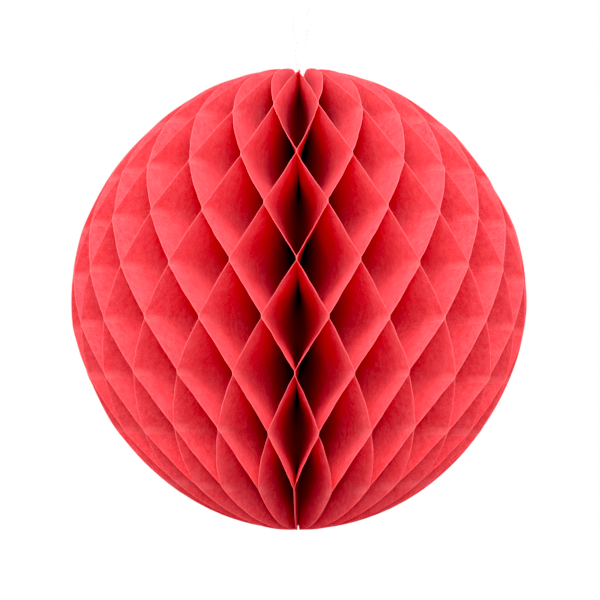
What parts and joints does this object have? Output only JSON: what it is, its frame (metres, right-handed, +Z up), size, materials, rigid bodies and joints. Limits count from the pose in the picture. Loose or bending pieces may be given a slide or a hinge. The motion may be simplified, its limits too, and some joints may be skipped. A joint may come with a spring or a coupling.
{
  "type": "paper honeycomb ball",
  "caption": "Hanging tissue honeycomb ball, opened right round from a bound book of half-disc leaves between stiff covers; turns and swings on a thread loop and folds flat.",
  "frame": {"origin": "seat of the hanging loop, where a hook bears on the underside of its top; the ball's centre is 204 mm straight below", "axes": "+Z up along the spine and the hanging thread; the closed seam between the covers faces +Y and the ball's front faces -Y"},
  "size_m": [0.1996, 0.1997, 0.3054],
  "materials": {
    "tissue": "matte",
    "cover_card": "matte",
    "adhesive_tape": "satin",
    "thread": "matte"
  },
  "bodies": {
    "hanger": {"hanging_loop": "thread"},
    "knot": {"loop_knot": "thread"},
    "spine": {"spine_margin": "tissue", "binding_thread": "thread", "thread_eye": "thread", "cover_board_a": "cover_card", "tape_upper": "adhesive_tape", "tape_middle": "adhesive_tape", "tape_lower": "adhesive_tape"},
    "board_b": {"cover_board_b": "cover_card"},
    "leaf_01": {"leaf_01": "tissue"},
    "leaf_02": {"leaf_02": "tissue"},
    "leaf_03": {"leaf_03": "tissue"},
    "leaf_04": {"leaf_04": "tissue"},
    "leaf_05": {"leaf_05": "tissue"},
    "leaf_06": {"leaf_06": "tissue"},
    "leaf_07": {"leaf_07": "tissue"},
    "leaf_08": {"leaf_08": "tissue"},
    "leaf_09": {"leaf_09": "tissue"},
    "leaf_10": {"leaf_10": "tissue"},
    "leaf_11": {"leaf_11": "tissue"},
    "leaf_12": {"leaf_12": "tissue"},
    "leaf_13": {"leaf_13": "tissue"},
    "leaf_14": {"leaf_14": "tissue"},
    "leaf_15": {"leaf_15": "tissue"},
    "leaf_16": {"leaf_16": "tissue"},
    "leaf_17": {"leaf_17": "tissue"},
    "leaf_18": {"leaf_18": "tissue"},
    "leaf_19": {"leaf_19": "tissue"},
    "leaf_20": {"leaf_20": "tissue"},
    "leaf_21": {"leaf_21": "tissue"},
    "leaf_22": {"leaf_22": "tissue"},
    "leaf_23": {"leaf_23": "tissue"},
    "leaf_24": {"leaf_24": "tissue"},
    "leaf_25": {"leaf_25": "tissue"},
    "leaf_26": {"leaf_26": "tissue"},
    "leaf_27": {"leaf_27": "tissue"},
    "leaf_28": {"leaf_28": "tissue"},
    "leaf_29": {"leaf_29": "tissue"},
    "leaf_30": {"leaf_30": "tissue"},
    "leaf_31": {"leaf_31": "tissue"},
    "leaf_32": {"leaf_32": "tissue"},
    "leaf_33": {"leaf_33": "tissue"},
    "leaf_34": {"leaf_34": "tissue"},
    "leaf_35": {"leaf_35": "tissue"},
    "leaf_36": {"leaf_36": "tissue"},
    "leaf_37": {"leaf_37": "tissue"},
    "leaf_38": {"leaf_38": "tissue"},
    "leaf_39": {"leaf_39": "tissue"},
    "leaf_40": {"leaf_40": "tissue"},
    "leaf_41": {"leaf_41": "tissue"},
    "leaf_42": {"leaf_42": "tissue"},
    "leaf_43": {"leaf_43": "tissue"},
    "leaf_44": {"leaf_44": "tissue"},
    "leaf_45": {"leaf_45": "tissue"},
    "leaf_46": {"leaf_46": "tissue"},
    "leaf_47": {"leaf_47": "tissue"},
    "leaf_48": {"leaf_48": "tissue"},
    "leaf_49": {"leaf_49": "tissue"},
    "leaf_50": {"leaf_50": "tissue"}
  },
  "joints": [
    {"name": "thread_twist", "type": "hinge", "parent": "hanger", "child": "knot", "pos_m": [0, 0, -0.1045], "axis": [0, 0, 1], "continuous": true},
    {"name": "eye_swing", "type": "hinge", "parent": "knot", "child": "spine", "pos_m": [0, 0, -0.1071], "axis": [0, 1, 0], "range_deg": [-45, 45]},
    {"name": "fold", "type": "hinge", "parent": "spine", "child": "board_b", "pos_m": [0, 0, -0.204], "axis": [0, 0, 1], "range_deg": [-350, 0], "deforming": ["leaf_01", "leaf_02", "leaf_03", "leaf_04", "leaf_05", "leaf_06", "leaf_07", "leaf_08", "leaf_09", "leaf_10", "leaf_11", "leaf_12", "leaf_13", "leaf_14", "leaf_15", "leaf_16", "leaf_17", "leaf_18", "leaf_19", "leaf_20", "leaf_21", "leaf_22", "leaf_23", "leaf_24", "leaf_25", "leaf_26", "leaf_27", "leaf_28", "leaf_29", "leaf_30", "leaf_31", "leaf_32", "leaf_33", "leaf_34", "leaf_35", "leaf_36", "leaf_37", "leaf_38", "leaf_39", "leaf_40", "leaf_41", "leaf_42", "leaf_43", "leaf_44", "leaf_45", "leaf_46", "leaf_47", "leaf_48", "leaf_49", "leaf_50"]},
    {"name": "leaf_01_fold", "type": "hinge", "parent": "spine", "child": "leaf_01", "pos_m": [0, 0, -0.204], "axis": [0, 0, 1], "range_deg": [-4, 0.5]},
    {"name": "leaf_02_fold", "type": "hinge", "parent": "spine", "child": "leaf_02", "pos_m": [0, 0, -0.204], "axis": [0, 0, 1], "range_deg": [-11, 0.5]},
    {"name": "leaf_03_fold", "type": "hinge", "parent": "spine", "child": "leaf_03", "pos_m": [0, 0, -0.204], "axis": [0, 0, 1], "range_deg": [-18, 0.5]},
    {"name": "leaf_04_fold", "type": "hinge", "parent": "spine", "child": "leaf_04", "pos_m": [0, 0, -0.204], "axis": [0, 0, 1], "range_deg": [-25, 0.5]},
    {"name": "leaf_05_fold", "type": "hinge", "parent": "spine", "child": "leaf_05", "pos_m": [0, 0, -0.204], "axis": [0, 0, 1], "range_deg": [-32, 0.5]},
    {"name": "leaf_06_fold", "type": "hinge", "parent": "spine", "child": "leaf_06", "pos_m": [0, 0, -0.204], "axis": [0, 0, 1], "range_deg": [-39, 0.5]},
    {"name": "leaf_07_fold", "type": "hinge", "parent": "spine", "child": "leaf_07", "pos_m": [0, 0, -0.204], "axis": [0, 0, 1], "range_deg": [-46, 0.5]},
    {"name": "leaf_08_fold", "type": "hinge", "parent": "spine", "child": "leaf_08", "pos_m": [0, 0, -0.204], "axis": [0, 0, 1], "range_deg": [-53, 0.5]},
    {"name": "leaf_09_fold", "type": "hinge", "parent": "spine", "child": "leaf_09", "pos_m": [0, 0, -0.204], "axis": [0, 0, 1], "range_deg": [-60, 0.5]},
    {"name": "leaf_10_fold", "type": "hinge", "parent": "spine", "child": "leaf_10", "pos_m": [0, 0, -0.204], "axis": [0, 0, 1], "range_deg": [-67, 0.5]},
    {"name": "leaf_11_fold", "type": "hinge", "parent": "spine", "child": "leaf_11", "pos_m": [0, 0, -0.204], "axis": [0, 0, 1], "range_deg": [-74, 0.5]},
    {"name": "leaf_12_fold", "type": "hinge", "parent": "spine", "child": "leaf_12", "pos_m": [0, 0, -0.204], "axis": [0, 0, 1], "range_deg": [-81, 0.5]},
    {"name": "leaf_13_fold", "type": "hinge", "parent": "spine", "child": "leaf_13", "pos_m": [0, 0, -0.204], "axis": [0, 0, 1], "range_deg": [-88, 0.5]},
    {"name": "leaf_14_fold", "type": "hinge", "parent": "spine", "child": "leaf_14", "pos_m": [0, 0, -0.204], "axis": [0, 0, 1], "range_deg": [-95, 0.5]},
    {"name": "leaf_15_fold", "type": "hinge", "parent": "spine", "child": "leaf_15", "pos_m": [0, 0, -0.204], "axis": [0, 0, 1], "range_deg": [-102, 0.5]},
    {"name": "leaf_16_fold", "type": "hinge", "parent": "spine", "child": "leaf_16", "pos_m": [0, 0, -0.204], "axis": [0, 0, 1], "range_deg": [-109, 0.5]},
    {"name": "leaf_17_fold", "type": "hinge", "parent": "spine", "child": "leaf_17", "pos_m": [0, 0, -0.204], "axis": [0, 0, 1], "range_deg": [-116, 0.5]},
    {"name": "leaf_18_fold", "type": "hinge", "parent": "spine", "child": "leaf_18", "pos_m": [0, 0, -0.204], "axis": [0, 0, 1], "range_deg": [-123, 0.5]},
    {"name": "leaf_19_fold", "type": "hinge", "parent": "spine", "child": "leaf_19", "pos_m": [0, 0, -0.204], "axis": [0, 0, 1], "range_deg": [-130, 0.5]},
    {"name": "leaf_20_fold", "type": "hinge", "parent": "spine", "child": "leaf_20", "pos_m": [0, 0, -0.204], "axis": [0, 0, 1], "range_deg": [-137, 0.5]},
    {"name": "leaf_21_fold", "type": "hinge", "parent": "spine", "child": "leaf_21", "pos_m": [0, 0, -0.204], "axis": [0, 0, 1], "range_deg": [-144, 0.5]},
    {"name": "leaf_22_fold", "type": "hinge", "parent": "spine", "child": "leaf_22", "pos_m": [0, 0, -0.204], "axis": [0, 0, 1], "range_deg": [-151, 0.5]},
    {"name": "leaf_23_fold", "type": "hinge", "parent": "spine", "child": "leaf_23", "pos_m": [0, 0, -0.204], "axis": [0, 0, 1], "range_deg": [-158, 0.5]},
    {"name": "leaf_24_fold", "type": "hinge", "parent": "spine", "child": "leaf_24", "pos_m": [0, 0, -0.204], "axis": [0, 0, 1], "range_deg": [-165, 0.5]},
    {"name": "leaf_25_fold", "type": "hinge", "parent": "spine", "child": "leaf_25", "pos_m": [0, 0, -0.204], "axis": [0, 0, 1], "range_deg": [-172, 0.5]},
    {"name": "leaf_26_fold", "type": "hinge", "parent": "spine", "child": "leaf_26", "pos_m": [0, 0, -0.204], "axis": [0, 0, 1], "range_deg": [-179, 0.5]},
    {"name": "leaf_27_fold", "type": "hinge", "parent": "spine", "child": "leaf_27", "pos_m": [0, 0, -0.204], "axis": [0, 0, 1], "range_deg": [-186, 0.5]},
    {"name": "leaf_28_fold", "type": "hinge", "parent": "spine", "child": "leaf_28", "pos_m": [0, 0, -0.204], "axis": [0, 0, 1], "range_deg": [-193, 0.5]},
    {"name": "leaf_29_fold", "type": "hinge", "parent": "spine", "child": "leaf_29", "pos_m": [0, 0, -0.204], "axis": [0, 0, 1], "range_deg": [-200, 0.5]},
    {"name": "leaf_30_fold", "type": "hinge", "parent": "spine", "child": "leaf_30", "pos_m": [0, 0, -0.204], "axis": [0, 0, 1], "range_deg": [-207, 0.5]},
    {"name": "leaf_31_fold", "type": "hinge", "parent": "spine", "child": "leaf_31", "pos_m": [0, 0, -0.204], "axis": [0, 0, 1], "range_deg": [-214, 0.5]},
    {"name": "leaf_32_fold", "type": "hinge", "parent": "spine", "child": "leaf_32", "pos_m": [0, 0, -0.204], "axis": [0, 0, 1], "range_deg": [-221, 0.5]},
    {"name": "leaf_33_fold", "type": "hinge", "parent": "spine", "child": "leaf_33", "pos_m": [0, 0, -0.204], "axis": [0, 0, 1], "range_deg": [-228, 0.5]},
    {"name": "leaf_34_fold", "type": "hinge", "parent": "spine", "child": "leaf_34", "pos_m": [0, 0, -0.204], "axis": [0, 0, 1], "range_deg": [-235, 0.5]},
    {"name": "leaf_35_fold", "type": "hinge", "parent": "spine", "child": "leaf_35", "pos_m": [0, 0, -0.204], "axis": [0, 0, 1], "range_deg": [-242, 0.5]},
    {"name": "leaf_36_fold", "type": "hinge", "parent": "spine", "child": "leaf_36", "pos_m": [0, 0, -0.204], "axis": [0, 0, 1], "range_deg": [-249, 0.5]},
    {"name": "leaf_37_fold", "type": "hinge", "parent": "spine", "child": "leaf_37", "pos_m": [0, 0, -0.204], "axis": [0, 0, 1], "range_deg": [-256, 0.5]},
    {"name": "leaf_38_fold", "type": "hinge", "parent": "spine", "child": "leaf_38", "pos_m": [0, 0, -0.204], "axis": [0, 0, 1], "range_deg": [-263, 0.5]},
    {"name": "leaf_39_fold", "type": "hinge", "parent": "spine", "child": "leaf_39", "pos_m": [0, 0, -0.204], "axis": [0, 0, 1], "range_deg": [-270, 0.5]},
    {"name": "leaf_40_fold", "type": "hinge", "parent": "spine", "child": "leaf_40", "pos_m": [0, 0, -0.204], "axis": [0, 0, 1], "range_deg": [-277, 0.5]},
    {"name": "leaf_41_fold", "type": "hinge", "parent": "spine", "child": "leaf_41", "pos_m": [0, 0, -0.204], "axis": [0, 0, 1], "range_deg": [-284, 0.5]},
    {"name": "leaf_42_fold", "type": "hinge", "parent": "spine", "child": "leaf_42", "pos_m": [0, 0, -0.204], "axis": [0, 0, 1], "range_deg": [-291, 0.5]},
    {"name": "leaf_43_fold", "type": "hinge", "parent": "spine", "child": "leaf_43", "pos_m": [0, 0, -0.204], "axis": [0, 0, 1], "range_deg": [-298, 0.5]},
    {"name": "leaf_44_fold", "type": "hinge", "parent": "spine", "child": "leaf_44", "pos_m": [0, 0, -0.204], "axis": [0, 0, 1], "range_deg": [-305, 0.5]},
    {"name": "leaf_45_fold", "type": "hinge", "parent": "spine", "child": "leaf_45", "pos_m": [0, 0, -0.204], "axis": [0, 0, 1], "range_deg": [-312, 0.5]},
    {"name": "leaf_46_fold", "type": "hinge", "parent": "spine", "child": "leaf_46", "pos_m": [0, 0, -0.204], "axis": [0, 0, 1], "range_deg": [-319, 0.5]},
    {"name": "leaf_47_fold", "type": "hinge", "parent": "spine", "child": "leaf_47", "pos_m": [0, 0, -0.204], "axis": [0, 0, 1], "range_deg": [-326, 0.5]},
    {"name": "leaf_48_fold", "type": "hinge", "parent": "spine", "child": "leaf_48", "pos_m": [0, 0, -0.204], "axis": [0, 0, 1], "range_deg": [-333, 0.5]},
    {"name": "leaf_49_fold", "type": "hinge", "parent": "spine", "child": "leaf_49", "pos_m": [0, 0, -0.204], "axis": [0, 0, 1], "range_deg": [-340, 0.5]},
    {"name": "leaf_50_fold", "type": "hinge", "parent": "spine", "child": "leaf_50", "pos_m": [0, 0, -0.204], "axis": [0, 0, 1], "range_deg": [-347, 0.5]}
  ],
  "couplings": [
    {"joint": "leaf_01_fold", "follows": "fold", "ratio": 0.01},
    {"joint": "leaf_02_fold", "follows": "fold", "ratio": 0.03},
    {"joint": "leaf_03_fold", "follows": "fold", "ratio": 0.05},
    {"joint": "leaf_04_fold", "follows": "fold", "ratio": 0.07},
    {"joint": "leaf_05_fold", "follows": "fold", "ratio": 0.09},
    {"joint": "leaf_06_fold", "follows": "fold", "ratio": 0.11},
    {"joint": "leaf_07_fold", "follows": "fold", "ratio": 0.13},
    {"joint": "leaf_08_fold", "follows": "fold", "ratio": 0.15},
    {"joint": "leaf_09_fold", "follows": "fold", "ratio": 0.17},
    {"joint": "leaf_10_fold", "follows": "fold", "ratio": 0.19},
    {"joint": "leaf_11_fold", "follows": "fold", "ratio": 0.21},
    {"joint": "leaf_12_fold", "follows": "fold", "ratio": 0.23},
    {"joint": "leaf_13_fold", "follows": "fold", "ratio": 0.25},
    {"joint": "leaf_14_fold", "follows": "fold", "ratio": 0.27},
    {"joint": "leaf_15_fold", "follows": "fold", "ratio": 0.29},
    {"joint": "leaf_16_fold", "follows": "fold", "ratio": 0.31},
    {"joint": "leaf_17_fold", "follows": "fold", "ratio": 0.33},
    {"joint": "leaf_18_fold", "follows": "fold", "ratio": 0.35},
    {"joint": "leaf_19_fold", "follows": "fold", "ratio": 0.37},
    {"joint": "leaf_20_fold", "follows": "fold", "ratio": 0.39},
    {"joint": "leaf_21_fold", "follows": "fold", "ratio": 0.41},
    {"joint": "leaf_22_fold", "follows": "fold", "ratio": 0.43},
    {"joint": "leaf_23_fold", "follows": "fold", "ratio": 0.45},
    {"joint": "leaf_24_fold", "follows": "fold", "ratio": 0.47},
    {"joint": "leaf_25_fold", "follows": "fold", "ratio": 0.49},
    {"joint": "leaf_26_fold", "follows": "fold", "ratio": 0.51},
    {"joint": "leaf_27_fold", "follows": "fold", "ratio": 0.53},
    {"joint": "leaf_28_fold", "follows": "fold", "ratio": 0.55},
    {"joint": "leaf_29_fold", "follows": "fold", "ratio": 0.57},
    {"joint": "leaf_30_fold", "follows": "fold", "ratio": 0.59},
    {"joint": "leaf_31_fold", "follows": "fold", "ratio": 0.61},
    {"joint": "leaf_32_fold", "follows": "fold", "ratio": 0.63},
    {"joint": "leaf_33_fold", "follows": "fold", "ratio": 0.65},
    {"joint": "leaf_34_fold", "follows": "fold", "ratio": 0.67},
    {"joint": "leaf_35_fold", "follows": "fold", "ratio": 0.69},
    {"joint": "leaf_36_fold", "follows": "fold", "ratio": 0.71},
    {"joint": "leaf_37_fold", "follows": "fold", "ratio": 0.73},
    {"joint": "leaf_38_fold", "follows": "fold", "ratio": 0.75},
    {"joint": "leaf_39_fold", "follows": "fold", "ratio": 0.77},
    {"joint": "leaf_40_fold", "follows": "fold", "ratio": 0.79},
    {"joint": "leaf_41_fold", "follows": "fold", "ratio": 0.81},
    {"joint": "leaf_42_fold", "follows": "fold", "ratio": 0.83},
    {"joint": "leaf_43_fold", "follows": "fold", "ratio": 0.85},
    {"joint": "leaf_44_fold", "follows": "fold", "ratio": 0.87},
    {"joint": "leaf_45_fold", "follows": "fold", "ratio": 0.89},
    {"joint": "leaf_46_fold", "follows": "fold", "ratio": 0.91},
    {"joint": "leaf_47_fold", "follows": "fold", "ratio": 0.93},
    {"joint": "leaf_48_fold", "follows": "fold", "ratio": 0.95},
    {"joint": "leaf_49_fold", "follows": "fold", "ratio": 0.97},
    {"joint": "leaf_50_fold", "follows": "fold", "ratio": 0.99}
  ]
}
